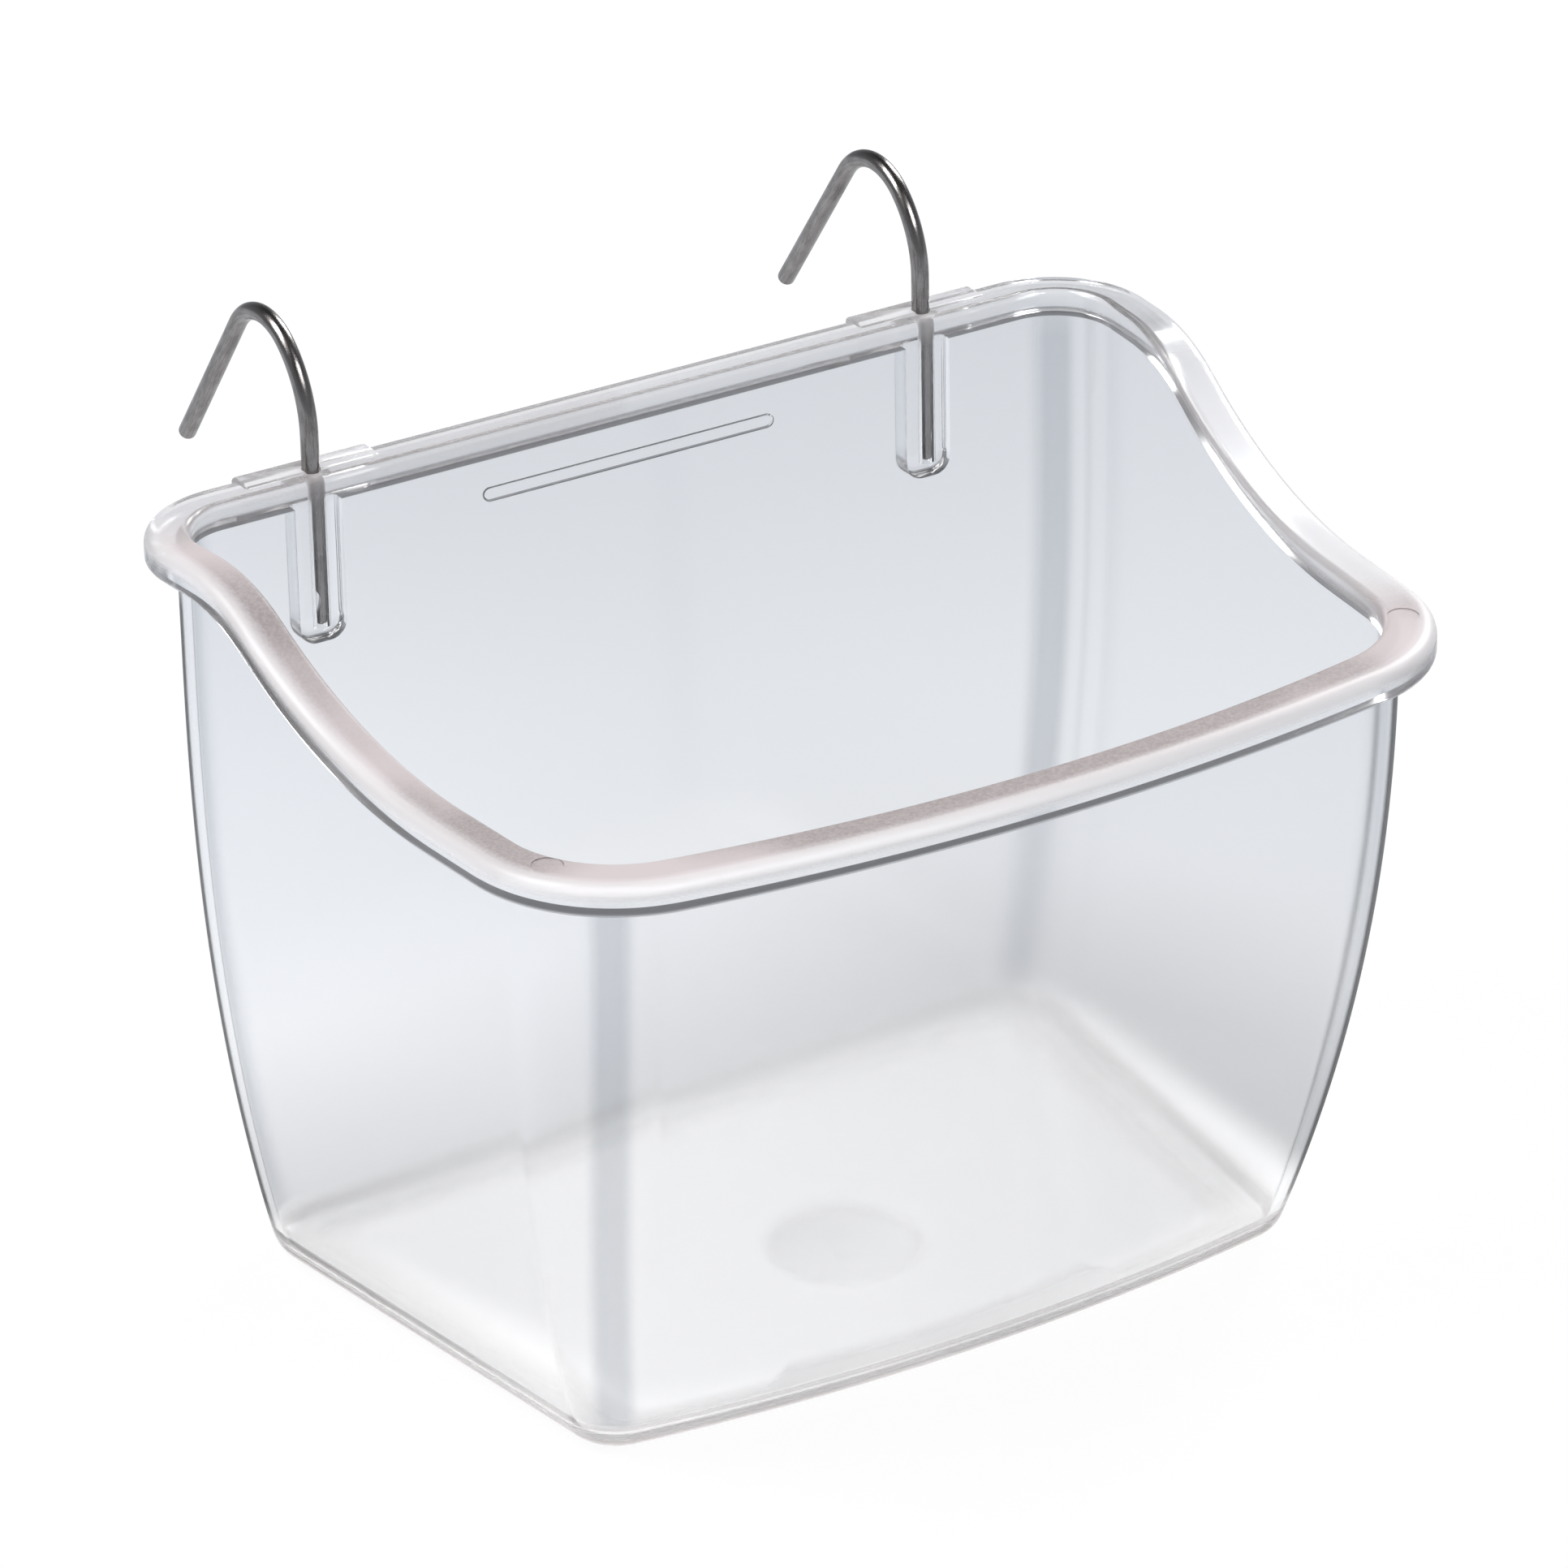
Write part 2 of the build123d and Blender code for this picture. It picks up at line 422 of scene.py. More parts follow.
def meshFromRows(name, rows, poles):  # rows of rings joined by quads and closed by a point at each end
    count = len(rows[0])
    points = np.vstack([*rows, poles]) * mm
    following = np.roll(np.arange(count), -1)
    faces = []
    for row in range(len(rows) - 1):
        start = row * count
        above = start + count
        faces += [(start + i, start + k, above + k, above + i) for i, k in enumerate(following)]
    first, last = len(rows) * count, len(rows) * count + 1
    end = (len(rows) - 1) * count
    faces += [(first, k, i) for i, k in enumerate(following)]
    faces += [(last, end + i, end + k) for i, k in enumerate(following)]
    mesh = bpy.data.meshes.new(name)
    mesh.from_pydata(points.tolist(), [], faces)
    return turnedOut(mesh)


def turnedOut(mesh):  # faces point outwards
    work = bmesh.new()
    work.from_mesh(mesh)
    bmesh.ops.recalc_face_normals(work, faces=work.faces)
    if work.calc_volume(signed=True) < 0:
        bmesh.ops.reverse_faces(work, faces=work.faces)
    work.to_mesh(mesh)
    work.free()
    return mesh


def place(name, mesh):
    thing = bpy.data.objects.new(name, mesh)
    bpy.context.scene.collection.objects.link(thing)
    return thing


def combine(base, tool, way):  # union or difference, with the tool used up
    modifier = base.modifiers.new("cut", "BOOLEAN")
    modifier.operation = way
    modifier.solver = "EXACT"
    modifier.object = tool
    made = bpy.data.meshes.new_from_object(base.evaluated_get(bpy.context.evaluated_depsgraph_get()))
    base.modifiers.clear()
    base.data = made
    bpy.data.objects.remove(tool)


sleevePlan = {  # millimetres
    "x": hookX,
    "y": 35.1,
    "halfWidth": 2.85,
    "front": 33.6,
    "back": 37.4,
    "bottom": 69.7,
    "bottomRound": 2.0,
    "backRound": 0.8,
    "top": 87.6,
    "boreRadius": 1.05,
    "boreBottom": 71.4,
    "sides": 64,
}
padPlan = {  # millimetres
    "halfWidth": 8.3,
    "front": 34.4,
    "back": 38.02,
    "bottom": 86.5,
    "top": 89.65,
    "round": 0.5,
}
barPlan = {  # millimetres
    "half": 18.6,
    "height": 1.6,
    "from": 33.6,
    "to": 34.9,
    "z": 81.7,
    "round": 0.18,
}
pinPlan = {  # millimetres
    "x": 53.0,
    "y": -37.5,
    "radius": 1.7,
    "depth": 0.12,
    "sides": 40,
}


def turned(name, profile, centre, sides):  # a round solid from (radius, height) pairs
    angles = np.linspace(0, 2 * math.pi, sides, endpoint=False)
    circle = np.column_stack([np.cos(angles), np.sin(angles)])
    rows = [
        np.column_stack([circle * radius + centre, np.full(sides, height)])
        for radius, height in profile]
    poles = [[*centre, profile[0][1]], [*centre, profile[-1][1]]]
    return place(name, meshFromRows(name, rows, poles))


def sleeveSolid(side):  # a block with round lower corners and a soft back edge
    plan = sleevePlan
    radius = plan["bottomRound"]
    angles = np.linspace(-math.pi / 2, 0, 9)
    corner = np.column_stack([plan["halfWidth"] - radius + radius * np.cos(angles),
                              plan["bottom"] + radius + radius * np.sin(angles)])
    right = np.vstack([corner, [[plan["halfWidth"], plan["top"]]]])
    outline = np.vstack([right, right[::-1] * [-1, 1]])
    outline = densified(outline)
    middle = np.array([0, (plan["bottom"] + plan["top"]) / 2])
    half = np.array([plan["halfWidth"], (plan["top"] - plan["bottom"]) / 2])
    soft = plan["backRound"]
    rows = []
    shape = [(0.5, plan["front"]), (1.0, plan["front"])]
    for angle in np.linspace(0, math.pi / 2, 7):
        shape.append((soft * (1 - math.cos(angle)), plan["back"] - soft + soft * math.sin(angle)))
    for number, (inset, y) in enumerate(shape):
        scale = inset if number < 2 else 1 - inset / half
        flat = (outline - middle) * scale + middle
        rows.append(np.column_stack([flat[:, 0] + side * plan["x"], np.full(len(flat), y), flat[:, 1]]))
    inner = rows[-1].copy()
    centre = [side * plan["x"], plan["back"], middle[1]]
    rows.append(centre + (inner - centre) * 0.9)
    rows.append(centre + (inner - centre) * 0.4)
    poles = [[side * plan["x"], plan["front"], middle[1]], centre]
    return place("sleeve", meshFromRows("sleeve", rows, poles))


def densified(outline, longest=1.5):  # more points on the long runs of a closed outline
    points = []
    for start, end in zip(outline, np.roll(outline, -1, 0)):
        count = max(1, int(np.ceil(np.linalg.norm(end - start) / longest)))
        points += [start + (end - start) * step / count for step in range(count)]
    return np.array(points)


def boreSolid(side):
    plan = sleevePlan
    radius = plan["boreRadius"]
    below, above = plan["boreBottom"], plan["top"] + 4
    profile = [(radius * 0.5, below), (radius, below), (radius, above), (radius * 0.5, above)]
    return turned("bore", profile, [side * plan["x"], plan["y"]], plan["sides"] // 2)


def roundedBlock(name, low, high, radius, chosen):  # a box with the chosen edges rounded
    work = bmesh.new()
    bmesh.ops.create_cube(work, size=1)
    for vertex in work.verts:
        vertex.co = Vector(l + (h - l) * (c + 0.5) for l, h, c in zip(low, high, vertex.co)) * mm
    edges = [edge for edge in work.edges if chosen(*(vertex.co / mm for vertex in edge.verts))]
    bmesh.ops.bevel(work, geom=edges, offset=radius * mm, segments=5, profile=0.5, affect="EDGES")
    mesh = bpy.data.meshes.new(name)
    work.to_mesh(mesh)
    work.free()
    return place(name, turnedOut(mesh))


def padSolid(side):
    plan = padPlan
    low = (side * sleevePlan["x"] - plan["halfWidth"], plan["front"], plan["bottom"])
    high = (side * sleevePlan["x"] + plan["halfWidth"], plan["back"], plan["top"])

    def chosen(first, second):
        upright = abs(first.z - second.z) > 1
        return upright or (first.z > plan["bottom"] + 1)

    return roundedBlock("pad", low, high, plan["round"], chosen)


def barSolid():
    plan = barPlan
    half = plan["height"] / 2
    reach = plan["half"] - half
    angles = np.linspace(-math.pi / 2, math.pi / 2, 13)
    right = np.column_stack([reach + half * np.cos(angles), half * np.sin(angles)])
    outline = np.vstack([right, right[::-1] * [-1, 1]])
    small = outline * [1 - plan["round"] / plan["half"], 1 - plan["round"] / half]
    rows = []
    shape = [
        (outline * 0.5, plan["from"]),
        (outline, plan["from"]),
        (outline, plan["to"] - plan["round"]),
        (small, plan["to"]),
        (small * 0.5, plan["to"]),
    ]
    for flat, y in shape:
        rows.append(np.column_stack([flat[:, 0], np.full(len(flat), y), flat[:, 1] + plan["z"]]))
    poles = [[0, plan["from"], plan["z"]], [0, plan["to"], plan["z"]]]
    return place("bar", meshFromRows("bar", rows, poles))


def pinSolid(side):
    plan = pinPlan
    angles = np.linspace(0, 2 * math.pi, plan["sides"], endpoint=False)
    flat = np.column_stack([np.cos(angles), np.sin(angles)])
    rows = []
    for portion, lift in ((0.5, -plan["depth"]), (1, -plan["depth"]), (1, 3), (0.5, 3)):
        disc = flat * plan["radius"] * portion + [side * plan["x"], plan["y"]]
        rows.append(np.column_stack([disc, sideLine(disc[:, 1]) + lift]))
    middle = [side * plan["x"], plan["y"]]
    height = float(sideLine(np.array(plan["y"])))
    poles = [[*middle, height - plan["depth"]], [*middle, height + 3]]
    return place("pin", meshFromRows("pin", rows, poles))


def makeTub():
    rows, poles = skinRows()
    tub = place("clear_tub", meshFromRows("clear_tub", rows, poles))
    for side in (-1, 1):
        combine(tub, sleeveSolid(side), "UNION")
        combine(tub, padSolid(side), "UNION")
    combine(tub, barSolid(), "UNION")
    for side in (-1, 1):
        combine(tub, boreSolid(side), "DIFFERENCE")
        combine(tub, pinSolid(side), "DIFFERENCE")
    mesh = tub.data
    mesh.name = "clear_tub"
    mesh.shade_smooth()
    mesh.set_sharp_from_angle(angle=math.radians(31))
    return tub


plasticFinish = {
    "tint": (0.958, 0.962, 0.972, 1),
    # The next two entries paint shade: a dark shader over the side walls where they are seen edge-on, for the
    # dark lines at their silhouettes
    "edge": (0.02, 0.021, 0.024, 1),
    "silhouetteShadeShare": 0.9,
    # The corner band below is painted shade: a darker tint down each corner, where the real corners darken by
    # refraction
    "cornerShadeTint": (0.69, 0.71, 0.74, 1),
    "bandReach": 2.9,  # millimetres
    "bandFade": 1.6,  # millimetres
    "frontBandShare": 0.68,
    "backBandShare": 0.36,
    "bodyRoughness": 0.09,
    "rimRoughness": 0.05,
    "frostRoughness": 0.25,
    "baseRoughness": 0.3,
    # The rim's frost is the plastic's own; the mauve below is a painted reflection, laid on the front and left
    # of the rim more than the right
    "blush": (0.50, 0.445, 0.45, 1),
    "frostAndReflectionShade": (0.26, 0.225, 0.225, 1),
    "lip": (0.80, 0.775, 0.78, 1),
    "foot": (0.66, 0.61, 0.61, 1),
    "frostAndReflectionShare": 0.88,
    # how milky the painted highlight along the floor's inner rounding is
    "floorEdgeHighlightShare": 0.60,
    "dishShare": 0.5,
    "footShare": 0.50,
    # the white of the painted highlights on the dish and along the floor's inner rounding
    "highlightWhite": (0.95, 0.95, 0.95, 1),
    "milkRoughness": 0.6,
    "milkGloss": 0.3,
    "flowScale": 30,  # noise scales, for each metre
    "grainScale": 900,
    "cloudScale": 26,
    "speckleScale": 2400,
    "ior": 1.57,
}


markPlan = {  # millimetres between which a mark rises or falls, or shares where noted
    "top": (-1.3, -0.3),  # above the rim line
    "frost": (-2.0, -1.0),  # above the rim line
    "inner": (0.6, 1.8),  # inward from the rim's edge
    # where the rim's frost and its painted mauve reflection sit: most on the front and left, less towards the
    # right front
    "frontLeft": 40,
    "frontRight": 26,
    "frontFade": 16,
    "rightX": (46, 56),
    "rightY": (-36, -24),
    "rightShare": 0.5,  # share
    "leastFrost": 0.35,  # share
    "entrySize": (4.5, 4.0),
    "entryShare": 0.55,  # share
    # The next two entries place a painted highlight: a white streak along the floor's inner rounding, set in
    # from the base's outline
    "highlightInset": (1.9, 5.5),
    "highlightHeight": (0.27, 1.17),
    # where the painted shade down each corner stops, under the rim and near the floor
    "bandTop": 0.5,
    "bandFoot": (2.5, 5.5),
    # where the painted shade at the side walls' silhouettes may show, between the rim and the foot
    "sideTop": (-3.5, -1.5),  # above the rim's underside
    "sideFoot": (3, 7),
    "footHeight": (1.8, 3.4),
    "footInset": (1.2, 1.8),
    "underside": (0, 1),
    # The dish turns milky white, a painted highlight over its frosted recess
    "dish": (-1.1, 0.1),  # past the dish's radius
    "outlineSteps": 160,  # number
}


def rising(values, limits):  # 0 at the first limit, 1 at the second
    low, high = limits
    return np.clip((values - low) / (high - low), 0, 1)


def falling(values, limits):  # 1 at the first limit, 0 at the second
    low, high = limits
    return np.clip((high - values) / (high - low), 0, 1)


def fromOutline(sizes, x, y):  # distance of each point from an outline in plan
    steps = markPlan["outlineSteps"]
    part = np.repeat(np.arange(len(columnCounts)), steps)
    share = np.tile(np.linspace(0, 1, steps), len(columnCounts))
    outline, _ = planPoints([size + share * 0 for size in sizes], part, share)
    finder = kdtree.KDTree(len(outline))
    for number, point in enumerate(outline):
        finder.insert((*point, 0), number)
    finder.balance()
    return np.array([finder.find((abs(pointX), pointY, 0))[2] for pointX, pointY in zip(x, y)])


def markFinish(tub):  # how much each point belongs to the frosted rim (its mauve a painted reflection), the base, the corner bands of painted shade, and the dish and the floor's inner rounding with their painted highlights
    plan, form = markPlan, tubForm
    mesh = tub.data
    count = len(mesh.vertices)
    points = np.empty(count * 3)
    mesh.vertices.foreach_get("co", points)
    x, y, z = points.reshape(-1, 3).T / mm
    level = sideLine(y)
    above = z - level
    aboveUnder = above + form["rimHeight"]
    inward = fromOutline(rimSize(), x, y)
    fromBase = fromOutline(wallSize(0, 0), x, y)
    front = rising(np.where(x < 0, plan["frontLeft"], plan["frontRight"]) - y, (0, plan["frontFade"]))
    right = rising(x, plan["rightX"]) * rising(y, plan["rightY"])
    reachX, reachY = plan["entrySize"]
    entry = np.exp(-(((np.abs(x) - sleevePlan["x"]) / reachX) ** 2 + ((y - sleevePlan["y"]) / reachY) ** 2))
    # Painted highlight: a white streak along the floor's inner rounding
    highlightLow, highlightHigh = plan["highlightInset"]
    onFloorEdge = (z > form["floor"] - 0.05) & (fromBase > highlightLow) & (fromBase < highlightHigh)
    # Painted shade: a dark band down the middle of each corner, from near the floor to under the rim
    corner = np.full(count, 100.0)
    height = np.clip(z, 0, level)
    for kind, middle in ((1, plasticFinish["backBandShare"]), (3, plasticFinish["frontBandShare"])):
        sizes = wallSize(height, form["wall"] / 2)
        spot, _ = planPoints(sizes, np.full(count, kind), np.full(count, middle))
        corner = np.minimum(corner, np.hypot(np.abs(x) - spot[:, 0], y - spot[:, 1]))
    reach = plasticFinish["bandReach"]
    cornerShade = falling(corner, (reach - plasticFinish["bandFade"], reach))
    cornerShade *= falling(aboveUnder, (0, plan["bandTop"])) * rising(z, plan["bandFoot"])
    # Frosted rim top; its mauve is a painted reflection, most on the front and left, less towards the right
    # front, and around the sleeve entries
    frost = np.maximum(np.maximum(front, plan["leastFrost"]), entry * plan["entryShare"])
    pastDish = np.hypot(x, y - form["dishY"]) - form["dishRadius"]
    inFloor = (z > 1) & (z < form["floor"] + 0.1)
    marks = {
        "rimTop": rising(above, plan["top"]),
        "blush": rising(above, plan["frost"]) * (1 - right * plan["rightShare"]) * frost,
        "inner": rising(inward, plan["inner"]) * front * (1 - right),
        "side": falling(aboveUnder, plan["sideTop"]) * rising(z, plan["sideFoot"]),
        "seam": onFloorEdge * falling(np.abs(z - form["floor"] - 0.5), plan["highlightHeight"]),
        "foot": falling(z, plan["footHeight"]) * falling(fromBase, plan["footInset"]),
        "underside": falling(z, plan["underside"]),
        "corner": cornerShade * cornerShade * (3 - 2 * cornerShade),
        "dish": inFloor * falling(pastDish, plan["dish"]),
    }
    for name, values in marks.items():
        mesh.attributes.new(name, "FLOAT", "POINT").data.foreach_set("value", values.astype(np.float32))


def clearPlastic(finish):
    material = bpy.data.materials.new("clearPlastic")
    material.use_nodes = True
    recipe = Recipe(material.node_tree)
    places = recipe.add("ShaderNodeTexCoord").outputs["Object"]

    def mark(name):
        return recipe.value("ShaderNodeAttribute", {"attribute_name": name}, output="Fac")

    flow = recipe.noise(places, finish["flowScale"], 3)
    grain = recipe.noise(places, finish["grainScale"], 2)
    # Painted shade: the corner bands darken the plastic's tint
    colour = recipe.blend(mark("corner"), finish["tint"], finish["cornerShadeTint"])
    colour = recipe.blend(flow * 0.1, colour, (1, 1, 1, 1))
    # Painted highlight: over the dish the plastic's tint goes to white
    colour = recipe.blend(mark("dish"), colour, (1, 1, 1, 1))
    roughness = finish["bodyRoughness"] + (flow - 0.5) * 0.04
    roughness = roughness - mark("rimTop") * (finish["bodyRoughness"] - finish["rimRoughness"])
    roughness = roughness + mark("blush") * finish["frostRoughness"]
    roughness = roughness + mark("underside") * (finish["baseRoughness"] + grain * 0.1)
    height = flow * 0.6 + grain * mark("blush") * 0.15
    bump = recipe.add("ShaderNodeBump", None, {"Strength": 0.03, "Distance": 0.0004, "Height": height})
    clear = recipe.add("ShaderNodeBsdfPrincipled", None, {
        "Base Color": colour,
        "Roughness": roughness,
        "IOR": finish["ior"],
        "Transmission Weight": 1.0,
        "Normal": bump.outputs["Normal"],
    })
    cloud = recipe.noise(places, finish["cloudScale"], 2).smooth(0.40, 0.58)
    speckle = recipe.noise(places, finish["speckleScale"], 3, 0.7).smooth(0.35, 0.65)
    # The rim's mauve, a painted reflection, in random clouds of two tones
    milk = recipe.blend(cloud * (0.6 + speckle * 0.4), finish["blush"], finish["frostAndReflectionShade"])
    milk = recipe.blend(mark("inner"), finish["lip"], milk)
    milk = recipe.blend(mark("foot"), milk, finish["foot"])
    # Painted highlight: the dish and the floor's inner rounding turn milky white
    highlightMask = mark("dish") + mark("seam")
    milk = recipe.blend(highlightMask, milk, finish["highlightWhite"])
    milky = recipe.add("ShaderNodeBsdfPrincipled", None, {
        "Base Color": milk,
        "Roughness": finish["milkRoughness"],
        "Specular IOR Level": finish["milkGloss"],
        "IOR": finish["ior"],
        "Normal": bump.outputs["Normal"],
    })
    rimShare = mark("blush") * finish["frostAndReflectionShare"] * (0.8 + mark("inner") * 0.2)
    share = rimShare + mark("dish") * finish["dishShare"] + mark("seam") * finish["floorEdgeHighlightShare"]
    share = share + mark("foot") * finish["footShare"]
    mixed = recipe.add("ShaderNodeMixShader", None, {0: share, 1: clear.outputs[0], 2: milky.outputs[0]})
    # Painted shade: a dark shader mixed in where the side walls are seen edge-on, standing in for the dark lines
    # at their silhouettes
    facing = recipe.value("ShaderNodeLayerWeight", None, {"Blend": 0.5}, "Facing")
    dark = recipe.add("ShaderNodeBsdfPrincipled", None, {
        "Base Color": finish["edge"], "Roughness": 0.4, "IOR": finish["ior"], "Specular IOR Level": 0.1})
    grazing = facing.smooth(0.69, 0.80) * mark("side") * finish["silhouetteShadeShare"]
    edged = recipe.add("ShaderNodeMixShader", None, {0: grazing, 1: mixed.outputs[0], 2: dark.outputs[0]})
    recipe.add("ShaderNodeOutputMaterial", None, {"Surface": edged.outputs[0]})
    return material


tub = makeTub()
markFinish(tub)
tub.data.materials.clear()
tub.data.materials.append(clearPlastic(plasticFinish))
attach(tub, "tub")
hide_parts("tub")
print("tub made:", len(tub.data.polygons), "faces")


# Hooks: a wire drawn along a path by Geometry Nodes

hookPlan = {  # millimetres, or degrees where noted
    "x": hookX,
    "y": 35.1,
    "end": 71.7,
    "straightTop": 93.4,
    "easyBend": 12.0,
    "easyTurn": 50.0,  # degrees
    "tightBend": 7.5,
    "tightTurn": 93.0,  # degrees
    "freeLeg": 22.4,
    "wireRadius": 1.0,
    "tipRound": 0.45,
    "sides": 36,
    "notchHeight": 74.6,
    "notchRadius": 1.5,
    "notchDepth": 0.7,
    "step": 0.3,
}


def hookPath(side):  # points every step along the stem, two bends and the free leg, closer at the ends
    plan = hookPlan
    y, z, heading = plan["y"], plan["end"], math.pi / 2
    runs = [
        (plan["straightTop"] - plan["end"], 0),
        (plan["easyBend"] * math.radians(plan["easyTurn"]), 1 / plan["easyBend"]),
        (plan["tightBend"] * math.radians(plan["tightTurn"]), 1 / plan["tightBend"]),
        (plan["freeLeg"], 0),
    ]
    total = sum(length for length, _ in runs)
    tip = plan["tipRound"]
    close = [tip * (1 - math.cos(math.radians(angle))) for angle in range(0, 91, 15)]
    marks = close + list(np.arange(tip + plan["step"], total - tip - plan["step"] / 2, plan["step"]))
    marks += [total - mark for mark in reversed(close)]
    points = []
    for mark in marks:
        y, z, heading, left = plan["y"], plan["end"], math.pi / 2, mark
        for length, bend in runs:
            run = min(left, length)
            if bend:
                after = heading - run * bend
                y += (math.sin(heading) - math.sin(after)) / bend
                z += (math.cos(after) - math.cos(heading)) / bend
                heading = after
            else:
                y += run * math.cos(heading)
                z += run * math.sin(heading)
            left -= run
        points.append((side * plan["x"] * mm, y * mm, z * mm))
    mesh = bpy.data.meshes.new("hookPath")
    mesh.from_pydata(points, [(i, i + 1) for i in range(len(points) - 1)], [])
    return mesh


def wireTree():  # named sizes in, a finished wire out
    tree = bpy.data.node_groups.new("drawnWire", "GeometryNodeTree")
    tree.interface.new_socket("Geometry", in_out="INPUT", socket_type="NodeSocketGeometry")
    lengths = ("Wire Radius", "Tip Round", "Stem X", "Notch Height", "Notch Radius", "Notch Depth", "Notch Side")
    for name in lengths:
        tree.interface.new_socket(name, in_out="INPUT", socket_type="NodeSocketFloat")
    tree.interface.new_socket("Sides", in_out="INPUT", socket_type="NodeSocketInt")
    tree.interface.new_socket("Finish", in_out="INPUT", socket_type="NodeSocketMaterial")
    tree.interface.new_socket("Geometry", in_out="OUTPUT", socket_type="NodeSocketGeometry")
    recipe = Recipe(tree)
    given = recipe.add("NodeGroupInput").outputs

    def size(name):
        return Value(recipe, given[name])

    path = recipe.add("GeometryNodeMeshToCurve", None, {"Mesh": given["Geometry"]}).outputs[0]
    along = recipe.value("GeometryNodeSplineParameter", None, None, "Length")
    length = recipe.value("GeometryNodeSplineLength", None, None, "Length")
    inside = length - along
    near = inside.maths("MINIMUM", inside, along)
    near = near.maths("MINIMUM", near, size("Tip Round"))
    short = size("Tip Round") - near
    bulge = short.maths("SQRT", size("Tip Round") * size("Tip Round") - short * short)
    radius = size("Wire Radius") - size("Tip Round") + bulge
    marked = recipe.add("GeometryNodeStoreNamedAttribute", None, {
        "Geometry": path, "Name": "along", "Value": along})
    circle = recipe.add("GeometryNodeCurvePrimitiveCircle", None, {
        "Resolution": given["Sides"], "Radius": 1.0})
    order = recipe.value("GeometryNodeInputIndex")
    around = order / size("Sides") * (2 * math.pi)
    ringMarked = recipe.add("GeometryNodeStoreNamedAttribute", None, {
        "Geometry": circle.outputs[0], "Name": "around", "Value": around})
    wire = recipe.add("GeometryNodeCurveToMesh", None, {
        "Curve": marked.outputs[0], "Profile Curve": ringMarked.outputs[0],
        "Scale": radius, "Fill Caps": True})
    position = recipe.add("GeometryNodeInputPosition").outputs[0]
    split = recipe.add("ShaderNodeSeparateXYZ", None, {0: position}).outputs
    sideways = (Value(recipe, split["X"]) - size("Stem X")) * size("Notch Side")
    rise = Value(recipe, split["Z"]) - size("Notch Height")
    span = rise.maths("MAXIMUM", size("Notch Radius") * size("Notch Radius") - rise * rise, 0.0)
    limit = size("Wire Radius") + size("Notch Radius") - size("Notch Depth") - span.maths("SQRT", span)
    push = limit.maths("MINIMUM", limit - sideways, 0.0) * size("Notch Side")
    offset = recipe.add("ShaderNodeCombineXYZ", None, {"X": push}).outputs[0]
    notched = recipe.add("GeometryNodeSetPosition", None, {"Geometry": wire.outputs[0], "Offset": offset})
    single = recipe.add("GeometryNodeRealizeInstances", None, {"Geometry": notched.outputs[0]})
    finished = recipe.add("GeometryNodeSetMaterial", None, {
        "Geometry": single.outputs[0], "Material": given["Finish"]})
    recipe.add("NodeGroupOutput", None, {"Geometry": finished.outputs[0]})
    return tree


wireFinish = {
    "metal": (0.31, 0.295, 0.29, 1),
    "shade": (0.12, 0.11, 0.105, 1),
    "roughness": 0.17,
    "streaks": 0.12,
}


def nickelWire(finish):
    material = bpy.data.materials.new("nickelWire")
    material.use_nodes = True
    recipe = Recipe(material.node_tree)
    along = recipe.value("ShaderNodeAttribute", {"attribute_name": "along"}, output="Fac")
    around = recipe.value("ShaderNodeAttribute", {"attribute_name": "around"}, output="Fac")
    ring = recipe.add("ShaderNodeCombineXYZ", None, {
        "X": around.maths("COSINE", around), "Y": around.maths("SINE", around), "Z": along * 60})
    drawn = recipe.noise(ring.outputs[0], 7, 3, 0.6)
    places = recipe.add("ShaderNodeTexCoord").outputs["Object"]
    blotch = recipe.noise(places, 420, 3, 0.6)
    worn = (drawn * 0.6 + blotch * 0.4).smooth(0.38, 0.62)
    colour = recipe.blend(worn * 0.55, finish["metal"], finish["shade"])
    roughness = finish["roughness"] + worn * finish["streaks"]
    bump = recipe.add("ShaderNodeBump", None, {
        "Strength": 0.12, "Distance": 0.0001, "Height": drawn + blotch * 0.5})
    shader = recipe.add("ShaderNodeBsdfPrincipled", None, {
        "Base Color": colour, "Metallic": 1.0, "Roughness": roughness, "Normal": bump.outputs["Normal"]})
    recipe.add("ShaderNodeOutputMaterial", None, {"Surface": shader.outputs[0]})
    return material


def makeHook(side, tree, finish):
    plan = hookPlan
    name = "wire_hook_left" if side < 0 else "wire_hook_right"
    path = place("path", hookPath(side))
    modifier = path.modifiers.new("wire", "NODES")
    modifier.node_group = tree
    sizes = {
        "Wire Radius": plan["wireRadius"] * mm,
        "Tip Round": plan["tipRound"] * mm,
        "Notch Height": plan["notchHeight"] * mm,
        "Notch Radius": plan["notchRadius"] * mm,
        "Notch Depth": plan["notchDepth"] * mm,
        "Notch Side": float(side),
        "Stem X": side * plan["x"] * mm,
        "Sides": plan["sides"],
        "Finish": finish,
    }
    for item in tree.interface.items_tree:
        if item.in_out == "INPUT" and item.name in sizes:
            modifier[item.identifier] = sizes[item.name]
    mesh = bpy.data.meshes.new_from_object(path.evaluated_get(bpy.context.evaluated_depsgraph_get()))
    bpy.data.objects.remove(path)
    mesh.name = name
    turnedOut(mesh)
    mesh.shade_smooth()
    mesh.set_sharp_from_angle(angle=math.radians(50))
    hook = place(name, mesh)
    node = "hook_left" if side < 0 else "hook_right"
    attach(hook, node)
    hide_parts(node)
    return hook


drawnWire = wireTree()
nickel = nickelWire(wireFinish)
for side in (-1, 1):
    hook = makeHook(side, drawnWire, nickel)
    print(hook.name, "made:", len(hook.data.polygons), "faces")


# Studio: a floor that looks pale to the camera but, seen through the plastic, glows with a painted pool of light
# under the base and a painted shadow round it; a pale room and soft lights

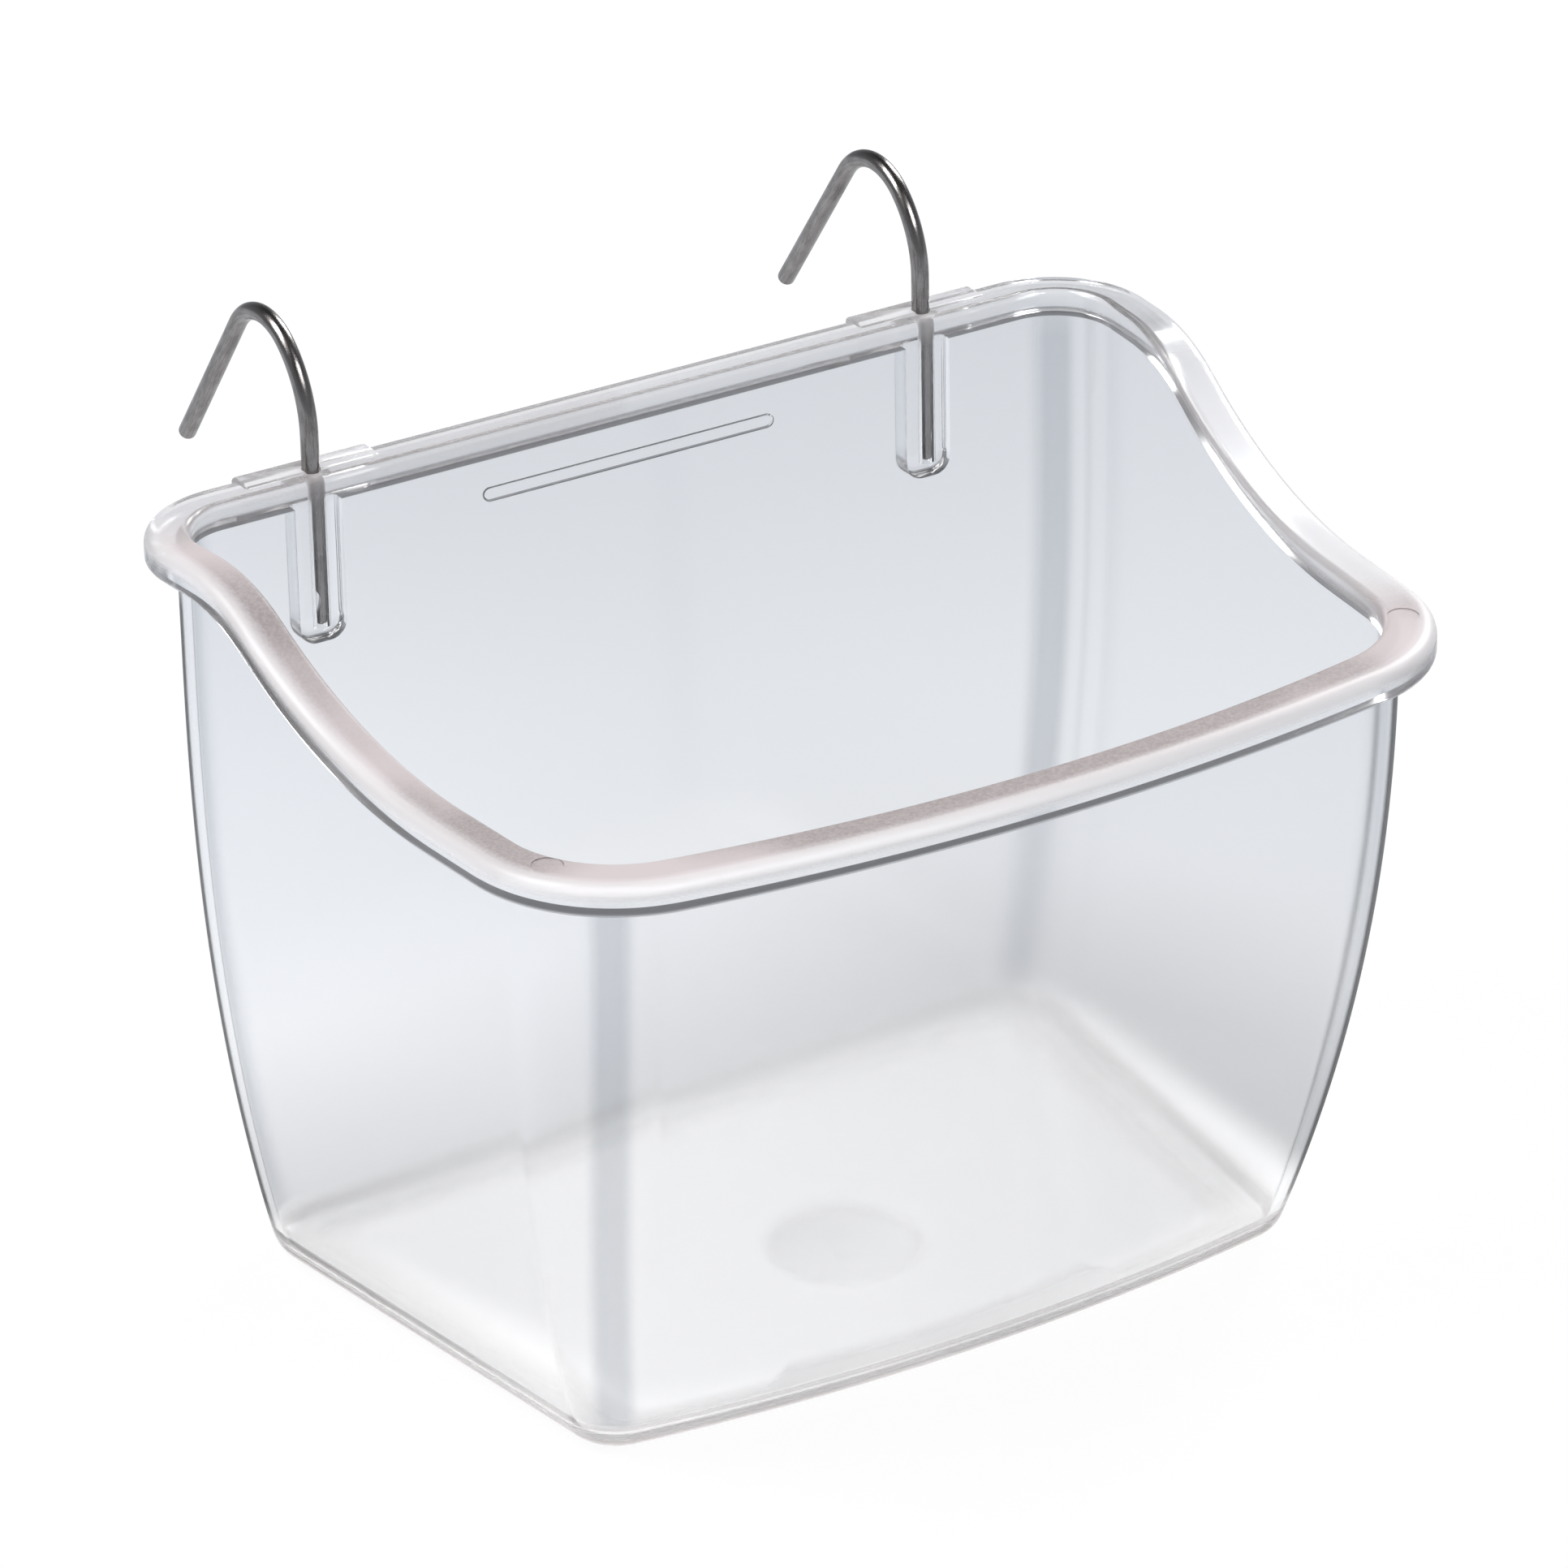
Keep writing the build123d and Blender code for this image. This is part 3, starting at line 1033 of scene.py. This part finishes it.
studioPlan = {
    "floorSize": 6.0,
    "under": (0.046, 0.026),  # half sizes of the ground that shines under the base, a painted pool of light
    "glowReach": 0.25,
    "glow": 1.37,
    "stops": [  # share of the glow at shares of the reach from the base: the painted pool of light under it, a painted shadow just outside, then a paler ring that fades further out
        (0.0, (0.93, 0.925, 0.92, 1)),
        (0.03, (0.93, 0.925, 0.92, 1)),
        (0.05, (0.48, 0.485, 0.49, 1)),
        (0.09, (0.51, 0.515, 0.53, 1)),
        (0.2, (0.635, 0.645, 0.66, 1)),
        (0.38, (0.61, 0.63, 0.655, 1)),
        (0.66, (0.545, 0.565, 0.595, 1)),
        (1.0, (0.49, 0.51, 0.54, 1)),
    ],
    "horizon": (0.30, 0.31, 0.33, 1),
    "zenith": (0.05, 0.05, 0.055, 1),
}


def makeFloor(plan):
    half = plan["floorSize"] / 2
    mesh = bpy.data.meshes.new("floor")
    corners = [(-half, -half, 0), (half, -half, 0), (half, half, 0), (-half, half, 0)]
    mesh.from_pydata(corners, [], [(0, 1, 2, 3)])
    floor = place("floor", mesh)
    floor.location.z = -0.0002
    material = bpy.data.materials.new("paleFloor")
    material.use_nodes = True
    recipe = Recipe(material.node_tree)
    places = recipe.add("ShaderNodeTexCoord").outputs["Object"]
    split = recipe.add("ShaderNodeSeparateXYZ", None, {0: places}).outputs
    past = [Value(recipe, split[axis]).absolute() - reach for axis, reach in zip("XY", plan["under"])]
    outX, outY = [over.maths("MAXIMUM", over, 0) for over in past]
    reach = outX * outX + outY * outY
    reach = reach.maths("SQRT", reach) / plan["glowReach"]
    ramp = recipe.add("ShaderNodeValToRGB", {"stops": plan["stops"]}, {"Fac": reach})
    # Painted light: the floor's glow is stronger on the left than on the right
    rightward = Value(recipe, split["X"]).smooth(-0.05, 0.08)
    seen = recipe.value("ShaderNodeLightPath", None, None, "Is Camera Ray")
    glow = recipe.add("ShaderNodeEmission", None, {
        "Color": recipe.blend(seen, ramp.outputs["Color"], (1, 1, 1, 1)),
        "Strength": seen + (1 - seen) * plan["glow"] * (1.1 - rightward * 0.17)})
    matt = recipe.add("ShaderNodeBsdfDiffuse", None, {"Color": (0.9, 0.9, 0.9, 1)})
    mixed = recipe.add("ShaderNodeMixShader", None, {0: 0.05, 1: glow.outputs[0], 2: matt.outputs[0]})
    recipe.add("ShaderNodeOutputMaterial", None, {"Surface": mixed.outputs[0]})
    mesh.materials.append(material)


def makeRoom(plan):
    world = bpy.data.worlds.new("room")
    bpy.context.scene.world = world
    world.use_nodes = True
    recipe = Recipe(world.node_tree)
    direction = recipe.add("ShaderNodeTexCoord").outputs["Generated"]
    height = Value(recipe, recipe.add("ShaderNodeSeparateXYZ", None, {0: direction}).outputs["Z"])
    colour = recipe.blend(height.smooth(0.05, 0.8), plan["horizon"], plan["zenith"])
    seen = recipe.value("ShaderNodeLightPath", None, None, "Is Camera Ray")
    background = recipe.add("ShaderNodeBackground", None, {
        "Color": recipe.blend(seen, colour, (1, 1, 1, 1))})
    recipe.add("ShaderNodeOutputWorld", None, {"Surface": background.outputs[0]})


softLights = [  # place, aim, size and power of each soft box
    {"from": (-0.55, 0.15, 0.85), "to": (0, 0, 0.04), "size": (0.5, 0.5), "power": 9},
    {"from": (0.70, 0.35, 0.60), "to": (0, 0, 0.04), "size": (0.35, 0.5), "power": 7},
    {"from": (0.1, -0.75, 0.75), "to": (0, 0, 0.04), "size": (0.5, 0.3), "power": 5},
]


def makeLights(lights):
    for number, plan in enumerate(lights):
        data = bpy.data.lights.new(f"softBox{number}", "AREA")
        data.shape = "RECTANGLE"
        data.size, data.size_y = plan["size"]
        data.energy = plan["power"]
        light = bpy.data.objects.new(data.name, data)
        bpy.context.scene.collection.objects.link(light)
        light.location = plan["from"]
        aim = Vector(plan["to"]) - Vector(plan["from"])
        light.rotation_euler = aim.to_track_quat("-Z", "Y").to_euler()


makeFloor(studioPlan)
makeRoom(studioPlan)
makeLights(softLights)
room = bpy.context.scene
room.view_settings.view_transform = "Standard"
room.cycles.max_bounces = 24  # enough for light that runs inside the rim
room.cycles.glossy_bounces = 24
room.cycles.transmission_bounces = 24
print("studio made")
